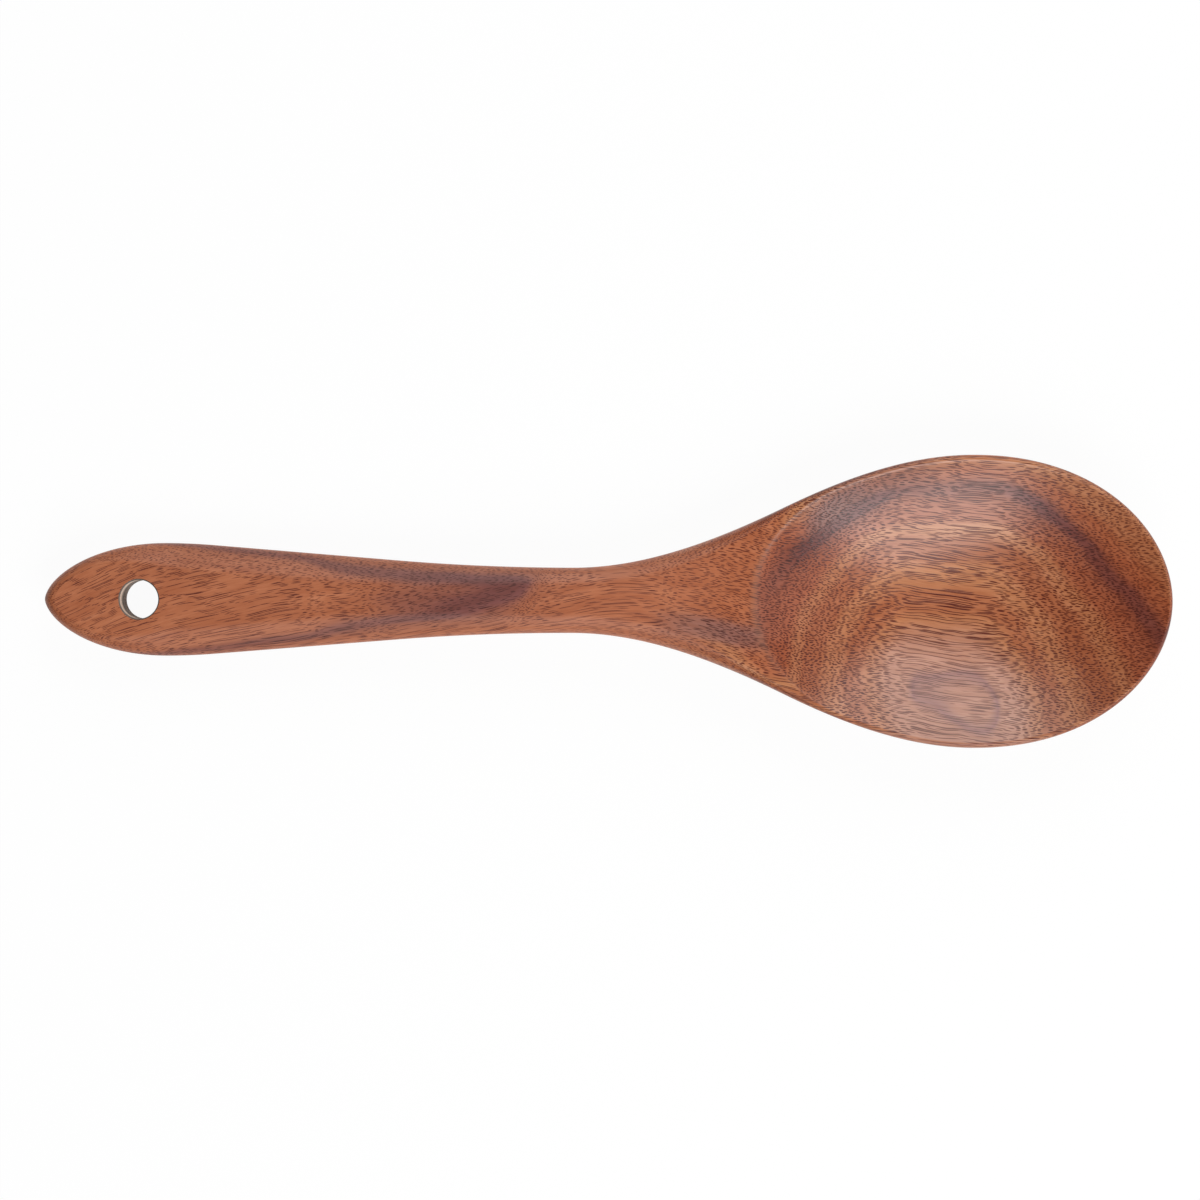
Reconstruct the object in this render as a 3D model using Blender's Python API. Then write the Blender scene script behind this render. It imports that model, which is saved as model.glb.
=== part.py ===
"""A wooden salad spoon, carved in one piece out of a hardwood board.

The spoon lies along X as it rests on a table, hollow up, with the butt of its handle at -X
and its bowl at +X. The blank is lofted over one half of the outline, row by row from the
underside's middle line round the widest line to the middle line of the top, and mirrored.
Two cutters finish it: the scoop hollows the bowl, and the drill makes the hanging hole.
Places along the spoon are measured from the tip of the butt.
"""

import math

import bmesh
import bpy
from mathutils import Matrix, Vector

MM = 0.001

# Outline, seen from above
HANDLE_LENGTH = 131.5 * MM  # tip of the butt to the neck's narrowest line
NECK_TO_BOWL = 99.4 * MM  # from there to the bowl's widest line
NOSE_LENGTH = 49.1 * MM  # from there to the tip of the bowl
GRIP_HEAD = 30.0 * MM  # tip of the butt to the grip's widest line
GRIP_WIDTH = 28.1 * MM
GRIP_TAPER = 0.081  # how much each side of the grip draws in along its length
NECK_WIDTH = 16.2 * MM
BOWL_WIDTH = 72.6 * MM
FLARE_STEEPNESS = 1.717  # of the bowl's shoulders, where 1 is a straight line from neck to bowl
FLARE_SHARE = 0.526  # where they are steepest, as a share of the way from neck to bowl
FLARE_RISE = 0.531  # and the share of the widening reached there
BUTT_FORM = (2.0, 0.6)  # powers of the rounded point, where 2 and 0.5 make an ellipse
NOSE_FORM = (2.15, 0.52)

# Heights above the table
GRIP_THICKNESS = 12.5 * MM  # at the grip's widest line
GRIP_SLOPE = 0.05  # rise of the flat top of the grip
NECK_LIFT = 6.4 * MM  # table to the underside of the neck
NECK_THICKNESS = 10.8 * MM
NECK_TOP_SLOPE = 0.02
NECK_SOLE_SLOPE = 0.04
HEEL_LIFT = 4.8 * MM  # table to the underside of the bowl's shoulders
HEEL_SLOPE = -0.15
BOWL_HEIGHT = 16.5 * MM  # table to the rim at the bowl's widest line
NOSE_RISE = 1.5 * MM  # rim at the tip above the rim at the widest line
NOSE_SLOPE = 0.05

# Edges of the top face: a soft bevel, and outside it a rounding down to the widest line
BUTT_BEVEL = 1.0 * MM
BUTT_BEVEL_DROP = 0.8 * MM
BUTT_ROUND = 1.0 * MM
BUTT_ROUND_DROP = 2.6 * MM
GRIP_BEVEL = 3.6 * MM
GRIP_BEVEL_DROP = 2.0 * MM
GRIP_ROUND = 2.7 * MM
GRIP_ROUND_DROP = 3.7 * MM
NECK_BEVEL = 2.2 * MM
NECK_BEVEL_DROP = 1.5 * MM
NECK_ROUND = 2.0 * MM
NECK_ROUND_DROP = 3.4 * MM
RIM_BEVEL = 0.4 * MM
RIM_BEVEL_DROP = 0.4 * MM
RIM_ROUND = 0.35 * MM
RIM_ROUND_DROP = 0.9 * MM
ROUND_SWEEP = math.radians(50)  # from the upright side to the bevel's slope
NARROWEST_TOP = 0.15  # share of the width that the edges always leave to the top face

# Underside
HANDLE_BELLY = 0.5  # power of the section, where 0.5 is an ellipse
BOWL_BELLY = 0.8
SOLE_SHARE = 0.17  # share of the width that is flat

# Hollow of the bowl
HOLLOW_DEPTH = 12.2 * MM  # below the rim at the bowl's widest line
HOLLOW_BACK = 54.3 * MM  # from the bowl's widest line to the hollow's end at the neck
HOLLOW_TURN = 32.9 * MM  # from the widest line to where the hollow leaves the rim
HOLLOW_END_POWER = 2.5  # fullness of that end, where 2 is an ellipse
FLOOR_SETBACK = 6.2 * MM  # from the widest line back to the deepest point
RIM_WIDTH = 0.95 * MM
NECK_LIP = 1.0 * MM  # softness of the hollow's edge at the neck
RIM_LIP = 0.12 * MM

# Hanging hole
HOLE_DIAMETER = 10.0 * MM
HOLE_PLACE = 23.5 * MM
HOLE_EASE = 0.5 * MM  # chamfer of its upper edge

# Steps of the loft and of the cutters
BUTT_STEPS = 10
SIDE_STEPS = 42
NOSE_STEPS = 16
BELLY_STEPS = 9
ROUND_STEPS = 3
HOLLOW_END_STEPS = 14
HOLLOW_SIDE_STEPS = 7
HOLLOW_RINGS = 8
HOLE_STEPS = 40
CLEARANCE = 2.0 * MM  # how far a cutter stands out of the blank
WELD = 0.001 * MM

WOOD_COLOUR = (0.30, 0.105, 0.035, 1.0)
WOOD_ROUGHNESS = 0.45


def between(start, end, share):
    return start + (end - start) * share


# Places that follow from the sizes above
NECK = HANDLE_LENGTH
BOWL = NECK + NECK_TO_BOWL
LENGTH = BOWL + NOSE_LENGTH
FLARE = between(NECK, BOWL, FLARE_SHARE)
TAPER_START = between(GRIP_HEAD, NECK, 0.12)
TAPER_END = between(GRIP_HEAD, NECK, 0.57)
FLAT_END = between(GRIP_HEAD, NECK, 0.64)
BUTT_EDGE_END = between(0, GRIP_HEAD, 0.27)
GRIP_EDGE_START = between(GRIP_HEAD, NECK, 0.06)
GRIP_EDGE_END = between(GRIP_HEAD, NECK, 0.4)
NECK_EDGE_END = between(NECK, BOWL, 0.2)
HOLLOW_END = BOWL - HOLLOW_BACK
HOLLOW_FULL = BOWL - HOLLOW_TURN
DEEPEST = BOWL - FLOOR_SETBACK
FLOOR = BOWL_HEIGHT - HOLLOW_DEPTH


def curve(knots, place):
    """Value at a place on a smooth curve through knots of (place, value, slope)."""
    for start, end in zip(knots, knots[1:]):
        if place <= end[0]:
            break
    run = end[0] - start[0]
    t = min(max((place - start[0]) / run, 0.0), 1.0)
    value = between(start[1], end[1], t * t * (3 - 2 * t))
    return value + run * t * (1 - t) * ((1 - t) * start[2] - t * end[2])


def rounded_end(distance, reach, form):
    """Share of the full width at a distance from an end's widest line, out to its reach."""
    power, fullness = form
    return max(1 - (distance / reach) ** power, 0.0) ** fullness


def half_width(place):
    if place < GRIP_HEAD:
        return GRIP_WIDTH / 2 * rounded_end(GRIP_HEAD - place, GRIP_HEAD, BUTT_FORM)
    if place > BOWL:
        return BOWL_WIDTH / 2 * rounded_end(place - BOWL, NOSE_LENGTH, NOSE_FORM)
    taper_start = GRIP_WIDTH / 2 - GRIP_TAPER * (TAPER_START - GRIP_HEAD) / 2
    taper_end = taper_start - GRIP_TAPER * (TAPER_END - TAPER_START)
    slope = FLARE_STEEPNESS * (BOWL_WIDTH - NECK_WIDTH) / 2 / NECK_TO_BOWL
    return curve(
        [
            (GRIP_HEAD, GRIP_WIDTH / 2, 0),
            (TAPER_START, taper_start, -GRIP_TAPER),
            (TAPER_END, taper_end, -GRIP_TAPER),
            (NECK, NECK_WIDTH / 2, 0),
            (FLARE, between(NECK_WIDTH / 2, BOWL_WIDTH / 2, FLARE_RISE), slope),
            (BOWL, BOWL_WIDTH / 2, 0),
        ],
        place,
    )


def top_height(place):
    """Height of the top face, which is a plane over the grip and sweeps on into the rim."""
    butt = GRIP_THICKNESS - GRIP_SLOPE * GRIP_HEAD
    return curve(
        [
            (0, butt, GRIP_SLOPE),
            (FLAT_END, butt + GRIP_SLOPE * FLAT_END, GRIP_SLOPE),
            (NECK, NECK_LIFT + NECK_THICKNESS, NECK_TOP_SLOPE),
            (BOWL, BOWL_HEIGHT, 0),
            (LENGTH, BOWL_HEIGHT + NOSE_RISE, NOSE_SLOPE),
        ],
        place,
    )


def sole_height(place):
    """Height of the underside's middle line, which touches the table at both ends."""
    return curve(
        [
            (GRIP_HEAD, 0, 0),
            (NECK, NECK_LIFT, NECK_SOLE_SLOPE),
            (FLARE, HEEL_LIFT, HEEL_SLOPE),
            (DEEPEST, 0, 0),
            (LENGTH, 0, 0),
        ],
        place,
    )


def edge_size(place, butt, grip, neck, rim):
    """A size of the top's edges, held along butt, grip, neck and rim and eased in between."""
    return curve(
        [
            (BUTT_EDGE_END, butt, 0),
            (GRIP_EDGE_START, grip, 0),
            (GRIP_EDGE_END, grip, 0),
            (NECK, neck, 0),
            (NECK_EDGE_END, neck, 0),
            (HOLLOW_FULL, rim, 0),
        ],
        place,
    )


def bevel(place):
    """Width and drop of the bevel."""
    width = edge_size(place, BUTT_BEVEL, GRIP_BEVEL, NECK_BEVEL, RIM_BEVEL)
    drop = edge_size(place, BUTT_BEVEL_DROP, GRIP_BEVEL_DROP, NECK_BEVEL_DROP, RIM_BEVEL_DROP)
    return width, drop


def rounding(place):
    """Width and drop of the rounding outside the bevel."""
    width = edge_size(place, BUTT_ROUND, GRIP_ROUND, NECK_ROUND, RIM_ROUND)
    drop = edge_size(place, BUTT_ROUND_DROP, GRIP_ROUND_DROP, NECK_ROUND_DROP, RIM_ROUND_DROP)
    return width, drop


def side_height(place):
    """Height of the widest line."""
    return top_height(place) - bevel(place)[1] - rounding(place)[1]


def drawn_in(place, along, across):
    """The outline's point at a place, with its end drawn in along and its width across."""
    width = half_width(place) * across
    if place < GRIP_HEAD:
        place = GRIP_HEAD - (GRIP_HEAD - place) * along
    if place > BOWL:
        place = BOWL + (place - BOWL) * along
    return place, width


def inset_point(place, inset):
    """The outline's point at a place, moved inwards by an inset."""
    end = GRIP_HEAD if place < GRIP_HEAD else NOSE_LENGTH
    full = half_width(min(max(place, GRIP_HEAD), BOWL))
    inset = min(inset, full * (1 - NARROWEST_TOP))
    return drawn_in(place, 1 - inset / end, 1 - inset / full)


def outline_places():
    """Places of the loft's columns, closer together towards both tips."""
    butt = [GRIP_HEAD * (1 - math.cos(math.pi / 2 * i / BUTT_STEPS)) for i in range(BUTT_STEPS)]
    side = [between(GRIP_HEAD, BOWL, i / SIDE_STEPS) for i in range(SIDE_STEPS)]
    nose = [BOWL + NOSE_LENGTH * math.sin(math.pi / 2 * i / NOSE_STEPS) for i in range(NOSE_STEPS)]
    return butt + side + nose + [LENGTH]


def belly_row(places, share):
    """A row of the underside at a share of the width, from 0 in the middle to 1 at the side."""
    row = []
    for outline_place in places:
        place, width = drawn_in(outline_place, share, share)
        power = curve([(NECK, HANDLE_BELLY, 0), (BOWL, BOWL_BELLY, 0)], place)
        fall = ((1 - max(share, SOLE_SHARE) ** 2) / (1 - SOLE_SHARE**2)) ** power
        row.append((place, width, between(side_height(place), sole_height(place), fall)))
    return row


def rounding_row(places, angle):
    """A row of the rounding, at an angle from 0 at the widest line to the full sweep."""
    row = []
    for outline_place in places:
        round_width, round_drop = rounding(outline_place)
        inset = round_width * (1 - math.cos(angle)) / (1 - math.cos(ROUND_SWEEP))
        rise = round_drop * math.sin(angle) / math.sin(ROUND_SWEEP)
        place, width = inset_point(outline_place, inset)
        row.append((place, width, side_height(place) + rise))
    return row


def top_edge_row(places):
    row = []
    for outline_place in places:
        inset = rounding(outline_place)[0] + bevel(outline_place)[0]
        place, width = inset_point(outline_place, inset)
        row.append((place, width, top_height(place)))
    return row


def loft_half(name, rows):
    """An object lofted through rows of points on one side of the middle plane, and mirrored."""
    mesh = bmesh.new()
    chain = [mesh.verts.new(point) for point in rows[0]]
    edges = [mesh.edges.new(pair) for pair in zip(chain, chain[1:])]
    for row in rows[1:]:
        extruded = bmesh.ops.extrude_edge_only(mesh, edges=edges)["geom"]
        fresh = {item for item in extruded if isinstance(item, bmesh.types.BMVert)}
        chain = [
            next(edge.other_vert(vert) for edge in vert.link_edges if edge.other_vert(vert) in fresh)
            for vert in chain
        ]
        for vert, point in zip(chain, row):
            vert.co = point
        edges = [mesh.edges.get(pair) for pair in zip(chain, chain[1:])]
    bmesh.ops.remove_doubles(mesh, verts=mesh.verts, dist=WELD)
    everything = mesh.verts[:] + mesh.edges[:] + mesh.faces[:]
    bmesh.ops.mirror(mesh, geom=everything, matrix=Matrix(), merge_dist=WELD, axis="Y")
    bmesh.ops.remove_doubles(mesh, verts=mesh.verts, dist=WELD)
    bmesh.ops.recalc_face_normals(mesh, faces=mesh.faces)
    return make_object(name, mesh)


def make_object(name, mesh):
    data = bpy.data.meshes.new(name)
    mesh.to_mesh(data)
    mesh.free()
    made = bpy.data.objects.new(name, data)
    bpy.context.scene.collection.objects.link(made)
    made.location.x = -LENGTH / 2
    return made


def make_blank():
    """The spoon without its hollow and its hole."""
    places = outline_places()
    rows = [belly_row(places, 0)]
    for i in range(1, BELLY_STEPS):
        angle = between(math.acos(SOLE_SHARE), 0, (i - 1) / (BELLY_STEPS - 1))
        rows.append(belly_row(places, math.cos(angle)))
    rows += [rounding_row(places, ROUND_SWEEP * i / ROUND_STEPS) for i in range(ROUND_STEPS + 1)]
    rows.append(top_edge_row(places))
    rows.append([(place, 0, height) for place, width, height in rows[-1]])
    return loft_half("spoon", rows)


def hollow_edge():
    """Points of the hollow's edge with the softness of each, from the neck to the tip."""
    edge = []
    for i in range(HOLLOW_END_STEPS):
        angle = math.pi / 2 * i / HOLLOW_END_STEPS
        power = 2 / HOLLOW_END_POWER
        place = HOLLOW_FULL - (HOLLOW_FULL - HOLLOW_END) * math.cos(angle) ** power
        width = (half_width(place) - RIM_WIDTH) * math.sin(angle) ** power
        edge.append((place, width, between(RIM_LIP, NECK_LIP, math.cos(angle) ** 2)))
    for i in range(HOLLOW_SIDE_STEPS):
        place = between(HOLLOW_FULL, BOWL, i / HOLLOW_SIDE_STEPS)
        edge.append((place, half_width(place) - RIM_WIDTH, RIM_LIP))
    for i in range(NOSE_STEPS + 1):
        place = BOWL + NOSE_LENGTH * math.sin(math.pi / 2 * i / NOSE_STEPS)
        edge.append((*inset_point(place, RIM_WIDTH), RIM_LIP))
    return edge


def scoop_point(edge_place, edge_width, share, lip, lift):
    """The hollow's surface at a share of the way from its deepest point to its edge.

    Within the lip on either side of the edge, the wall bends over into the top face.
    """
    inwards = 1 - share
    ramp = max(inwards, 0.0)
    if abs(inwards) < lip:
        ramp = (inwards + lip) ** 2 / (4 * lip)
    steepness = 1 - 2 * ramp + inwards**2
    height = between(FLOOR, top_height(edge_place), steepness) + lift
    return between(DEEPEST, edge_place, share), edge_width * share, height


def make_scoop():
    """The cutter for the hollow, whose skirt stands out of the top face."""
    edge = []
    for place, width, softness in hollow_edge():
        reach = math.hypot(place - DEEPEST, width)
        edge.append((place, width, softness / reach, CLEARANCE / reach))
    rows = []
    for i in range(HOLLOW_RINGS):
        shares = [between(0, 1 - lip, i / HOLLOW_RINGS) for place, width, lip, skirt in edge]
        rows.append([scoop_point(*at[:2], share, at[2], 0) for at, share in zip(edge, shares)])
    rows.append([scoop_point(*at[:2], 1 - at[2], at[2], 0) for at in edge])
    rows.append([scoop_point(*at[:2], 1, at[2], 0) for at in edge])
    rows.append([scoop_point(*at[:2], 1 + at[2], at[2], RIM_LIP) for at in edge])
    rows.append([scoop_point(*at[:2], 1 + at[3], at[2], CLEARANCE) for at in edge])
    rows.append([(place, 0, height) for place, width, height in rows[-1]])
    return loft_half("scoop", rows)


def make_drill():
    """The cutter for the hanging hole, square to the grip's top face, with a countersink."""
    radius = HOLE_DIAMETER / 2
    reach = GRIP_THICKNESS + CLEARANCE
    mesh = bmesh.new()
    profile = [
        (0, -reach),
        (radius, -reach),
        (radius, -HOLE_EASE),
        (radius + HOLE_EASE + CLEARANCE, CLEARANCE),
        (0, CLEARANCE),
    ]
    verts = [mesh.verts.new((x, 0, z)) for x, z in profile]
    edges = [mesh.edges.new(pair) for pair in zip(verts, verts[1:])]
    bmesh.ops.spin(
        mesh,
        geom=verts + edges,
        cent=(0, 0, 0),
        axis=(0, 0, 1),
        angle=2 * math.pi,
        steps=HOLE_STEPS,
        use_merge=True,
    )
    bmesh.ops.remove_doubles(mesh, verts=mesh.verts, dist=WELD)
    bmesh.ops.recalc_face_normals(mesh, faces=mesh.faces)
    square = Vector((-GRIP_SLOPE, 0, 1)).to_track_quat("Z", "Y").to_matrix().to_4x4()
    place = Matrix.Translation((HOLE_PLACE, 0, top_height(HOLE_PLACE)))
    bmesh.ops.transform(mesh, matrix=place @ square, verts=mesh.verts)
    return make_object("drill", mesh)


def cut(body, cutter):
    cutter.hide_render = True
    cutter.display_type = "WIRE"
    boolean = body.modifiers.new(cutter.name, "BOOLEAN")
    boolean.operation = "DIFFERENCE"
    boolean.solver = "EXACT"
    boolean.object = cutter


def make_wood():
    wood = bpy.data.materials.new("oiled_acacia")
    wood.use_nodes = True
    shader = wood.node_tree.nodes["Principled BSDF"]
    shader.inputs["Base Color"].default_value = WOOD_COLOUR
    shader.inputs["Roughness"].default_value = WOOD_ROUGHNESS
    shader.inputs["Metallic"].default_value = 0.0
    return wood


def main():
    for leftover in list(bpy.data.objects):
        bpy.data.objects.remove(leftover)
    spoon = make_blank()
    spoon.data.materials.append(make_wood())
    spoon.data.shade_smooth()
    spoon.data.set_sharp_from_angle(angle=math.radians(30))
    cut(spoon, make_scoop())
    cut(spoon, make_drill())


main()
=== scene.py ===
"""A carved salad spoon of oiled acacia on a white studio floor, seen from straight above.

The spoon is one piece of wood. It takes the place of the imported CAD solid, with the same sizes
and a finer skin: softened bevels, an eased hanging hole and a smooth hollow with a thin rim.
X runs from the butt of the handle to the tip of the bowl, and Z points up out of the hollow.
Places along the spoon are measured from the tip of the butt.
"""

import math

import bmesh
import bpy
import numpy as np
from bpy.props import FloatProperty, FloatVectorProperty, PointerProperty
from bpy.types import Operator, Panel, PropertyGroup
from mathutils import Matrix, Vector


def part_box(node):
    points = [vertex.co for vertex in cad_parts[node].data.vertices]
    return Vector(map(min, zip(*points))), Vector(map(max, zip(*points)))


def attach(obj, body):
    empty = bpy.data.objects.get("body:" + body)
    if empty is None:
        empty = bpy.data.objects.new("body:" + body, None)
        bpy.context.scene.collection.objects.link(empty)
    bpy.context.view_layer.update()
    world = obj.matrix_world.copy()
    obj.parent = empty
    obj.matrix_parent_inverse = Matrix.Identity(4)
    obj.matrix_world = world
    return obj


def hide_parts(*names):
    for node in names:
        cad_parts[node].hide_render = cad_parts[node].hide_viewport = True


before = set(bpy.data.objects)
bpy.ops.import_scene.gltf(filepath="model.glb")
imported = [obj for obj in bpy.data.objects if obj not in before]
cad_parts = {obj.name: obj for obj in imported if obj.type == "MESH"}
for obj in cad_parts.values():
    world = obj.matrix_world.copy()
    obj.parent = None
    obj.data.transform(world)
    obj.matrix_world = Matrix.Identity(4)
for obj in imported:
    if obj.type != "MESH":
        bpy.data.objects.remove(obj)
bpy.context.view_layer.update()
SPOON_LOW, SPOON_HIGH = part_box("spoon")

bl_info = {
    "name": "Acacia salad spoon",
    "version": (1, 0, 0),
    "blender": (4, 5, 0),
    "location": "3D View > Sidebar > Salad Spoon",
    "description": "Carves an acacia salad spoon around its packed part and sets a white studio round it",
    "category": "Add Mesh",
}

MM = 0.001
PHOTO_SIDE = 1200  # pixels across the photograph
WELD = 0.0005 * MM  # points nearer than this are merged


def length(name, millimetres, description):
    """A length that a user can change, stored in metres."""
    settings = {"precision": 5, "subtype": "DISTANCE", "unit": "LENGTH"}
    return FloatProperty(name=name, description=description, default=millimetres * MM, **settings)


def share(name, value, description):
    """A plain number that a user can change."""
    return FloatProperty(name=name, description=description, default=value, precision=4)


def lengths(name, metres, description):
    """A place, or the two sides of a lamp, in metres, that a user can change."""
    return FloatVectorProperty(
        name=name, description=description, default=metres, size=len(metres), unit="LENGTH"
    )


def linear(code):
    """An sRGB colour, given as a hex code, in the linear values that a shader takes."""
    channels = [int(code[i : i + 2], 16) / 255 for i in (1, 3, 5)]
    return [c / 12.92 if c <= 0.04045 else ((c + 0.055) / 1.055) ** 2.4 for c in channels]


def colour(name, code, description):
    """A colour that a user can change."""
    settings = {"size": 3, "min": 0.0, "max": 1.0, "subtype": "COLOR"}
    return FloatVectorProperty(name=name, description=description, default=linear(code), **settings)


class SpoonSizes(PropertyGroup):
    """Sizes of the carved spoon."""

    handle_length: length("Handle", 131.5, "Tip of the butt to the neck's narrowest line")
    neck_to_bowl: length("Neck to bowl", 99.4, "Narrowest line to the bowl's widest line")
    nose_length: length("Nose", 49.1, "The bowl's widest line to its tip")
    grip_head: length("Grip head", 30.0, "Tip of the butt to the grip's widest line")
    grip_width: length("Grip width", 28.1, "Widest width of the grip")
    grip_taper: share("Grip taper", 0.081, "How much each side of the grip draws in")
    neck_width: length("Neck width", 16.2, "Narrowest width")
    flare_steepness: share("Flare steepness", 1.717, "Of the shoulders, 1 being a straight line")
    flare_share: share("Flare place", 0.526, "Share of the way to the bowl where it is steepest")
    flare_rise: share("Flare rise", 0.531, "Share of the widening that is reached there")
    butt_power: share("Butt power", 2.0, "Power of the butt's rounded point")
    butt_fullness: share("Butt fullness", 0.6, "Fullness of the butt, 0.5 being an ellipse")
    nose_power: share("Nose power", 2.15, "Power of the bowl's rounded tip")
    nose_fullness: share("Nose fullness", 0.52, "Fullness of the tip, 0.5 being an ellipse")
    grip_thickness: length("Grip thickness", 12.5, "At the grip's widest line")
    grip_slope: share("Grip slope", 0.05, "Rise of the grip's flat top")
    neck_lift: length("Neck lift", 6.4, "Table to the underside of the neck")
    neck_thickness: length("Neck thickness", 10.8, "Height of the neck's section")
    heel_lift: length("Heel lift", 4.8, "Table to the underside of the bowl's shoulders")
    bowl_height: length("Bowl height", 16.5, "Table to the rim at the widest line")
    nose_rise: length("Nose rise", 1.5, "Rim at the tip above the rim at the widest line")
    hollow_depth: length("Hollow depth", 12.2, "Below the rim at the widest line")
    hollow_back: length("Hollow back", 54.3, "Widest line to the hollow's end at the neck")
    hollow_turn: length("Hollow turn", 32.9, "Widest line to where the hollow leaves the rim")
    floor_setback: length("Floor setback", 6.2, "Widest line back to the deepest point")
    rim_width: length("Rim width", 1.3, "Outline to the hollow's edge along the sides")
    nose_rim: length("Nose rim", 0.85, "Outline to the hollow's edge at the tip")
    neck_lip: length("Neck lip", 1.1, "Softness of the hollow's edge at the neck")
    rim_lip: length("Rim lip", 0.3, "Softness of the hollow's edge along the rim")
    hole_diameter: length("Hole diameter", 9.6, "The hanging hole")
    hole_place: length("Hole place", 23.85, "Tip of the butt to the hole's middle")
    hole_ease: length("Hole ease", 0.45, "Rounding of the hole's edges")


class AcaciaFinish(PropertyGroup):
    """Colours and figure of the oiled acacia."""

    orange: colour("Orange", "#AE6541", "Wood above the dark layer, on the grip and the rim")
    golden: colour("Golden", "#B87952", "Pale growth layers")
    brown: colour("Brown", "#AA6643", "Brown growth layers")
    russet: colour("Russet", "#AD6441", "Wood on both sides of the dark layer")
    rose: colour("Rose", "#B27B62", "The lowest growth layer that the hollow reaches")
    mauve: colour("Mauve", "#90605A", "The thin ring in the lowest growth layer")
    # Partly the dark wood's own colour and partly a painted sheen, in the two stains
    plum_stain_and_sheen: colour("Plum", "#885A50", "Faint stains over the dark layer and on the neck")
    umber: colour("Umber", "#74403A", "The dark layer")
    pore: colour("Pores", "#7C3A1A", "Tint of the open vessels, filled with oil")
    # Partly real end grain and partly painted shade on walls that lean along X
    end_grain_and_shade: colour("End grain", "#E6D4CC", "Tint where the surface cuts across the fibres")
    # Painted sheen: a pale grey-brown on the hollow's lip at the neck, standing in for a reflection
    lip_sheen_tint: colour("Dry wood", "#94705E", "The worn lip of the hollow at the neck")
    bare: colour("Bare wood", "#A8978A", "Unoiled wall of the hanging hole")
    pore_spacing: length("Pore spacing", 0.36, "Between neighbouring vessels")
    pith_side: length("Pith side", 14.6, "How far the tree's pith lay to the side")
    pith_height: length("Pith height", 80.0, "How far it lay above the dark layer")
    roughness: share("Roughness", 0.28, "Of the oiled surface in the bowl")
    worn_roughness: share("Worn roughness", 0.48, "Of the handle, where hands rub the oil off")


class StudioSetting(PropertyGroup):
    """Camera, lamps and floor."""

    camera_height: length("Camera height", 1130.0, "Above the floor")
    camera_side: length("Camera place", -1.63, "Along the spoon, from its middle")
    camera_across: length("Camera offset", 0.1, "Across the spoon, from its middle")
    focal_pixels: share("Focal length", 4501.9, "In pixels of the photograph")
    camera_roll: FloatProperty(
        name="Camera roll",
        description="Turn of the photograph about the line of sight",
        default=math.radians(0.14),
        subtype="ANGLE",
        unit="ROTATION",
    )
    far_place: lengths("Far soft box", (0.22, 0.8, 0.58), "Beyond the spoon and above it")
    far_size: lengths("Far size", (0.8, 0.8), "Width and height of the far soft box")
    far_power: share("Far power", 7.2, "In watts")
    near_place: lengths("Near soft box", (0.29, -0.68, 0.72), "On the camera's near side")
    near_size: lengths("Near size", (0.8, 0.7), "Width and height of the near soft box")
    near_power: share("Near power", 9.6, "In watts")
    end_place: lengths("End panel", (0.82, 0.0, 0.57), "A weak panel past the tip of the bowl")
    end_size: lengths("End size", (0.6, 0.5), "Width and height of the end panel")
    end_power: share("End power", 0.9, "In watts")
    sky: share("Sky", 0.11, "Strength of the even light from all round")


def between(start, end, part):
    return start + (end - start) * part


def curve(knots, place):
    """Value at a place on a smooth curve through knots of (place, value, slope)."""
    for start, end in zip(knots, knots[1:]):
        if place <= end[0]:
            break
    run = end[0] - start[0]
    t = min(max((place - start[0]) / run, 0.0), 1.0)
    value = between(start[1], end[1], t * t * (3 - 2 * t))
    return value + run * t * (1 - t) * ((1 - t) * start[2] - t * end[2])


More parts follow.
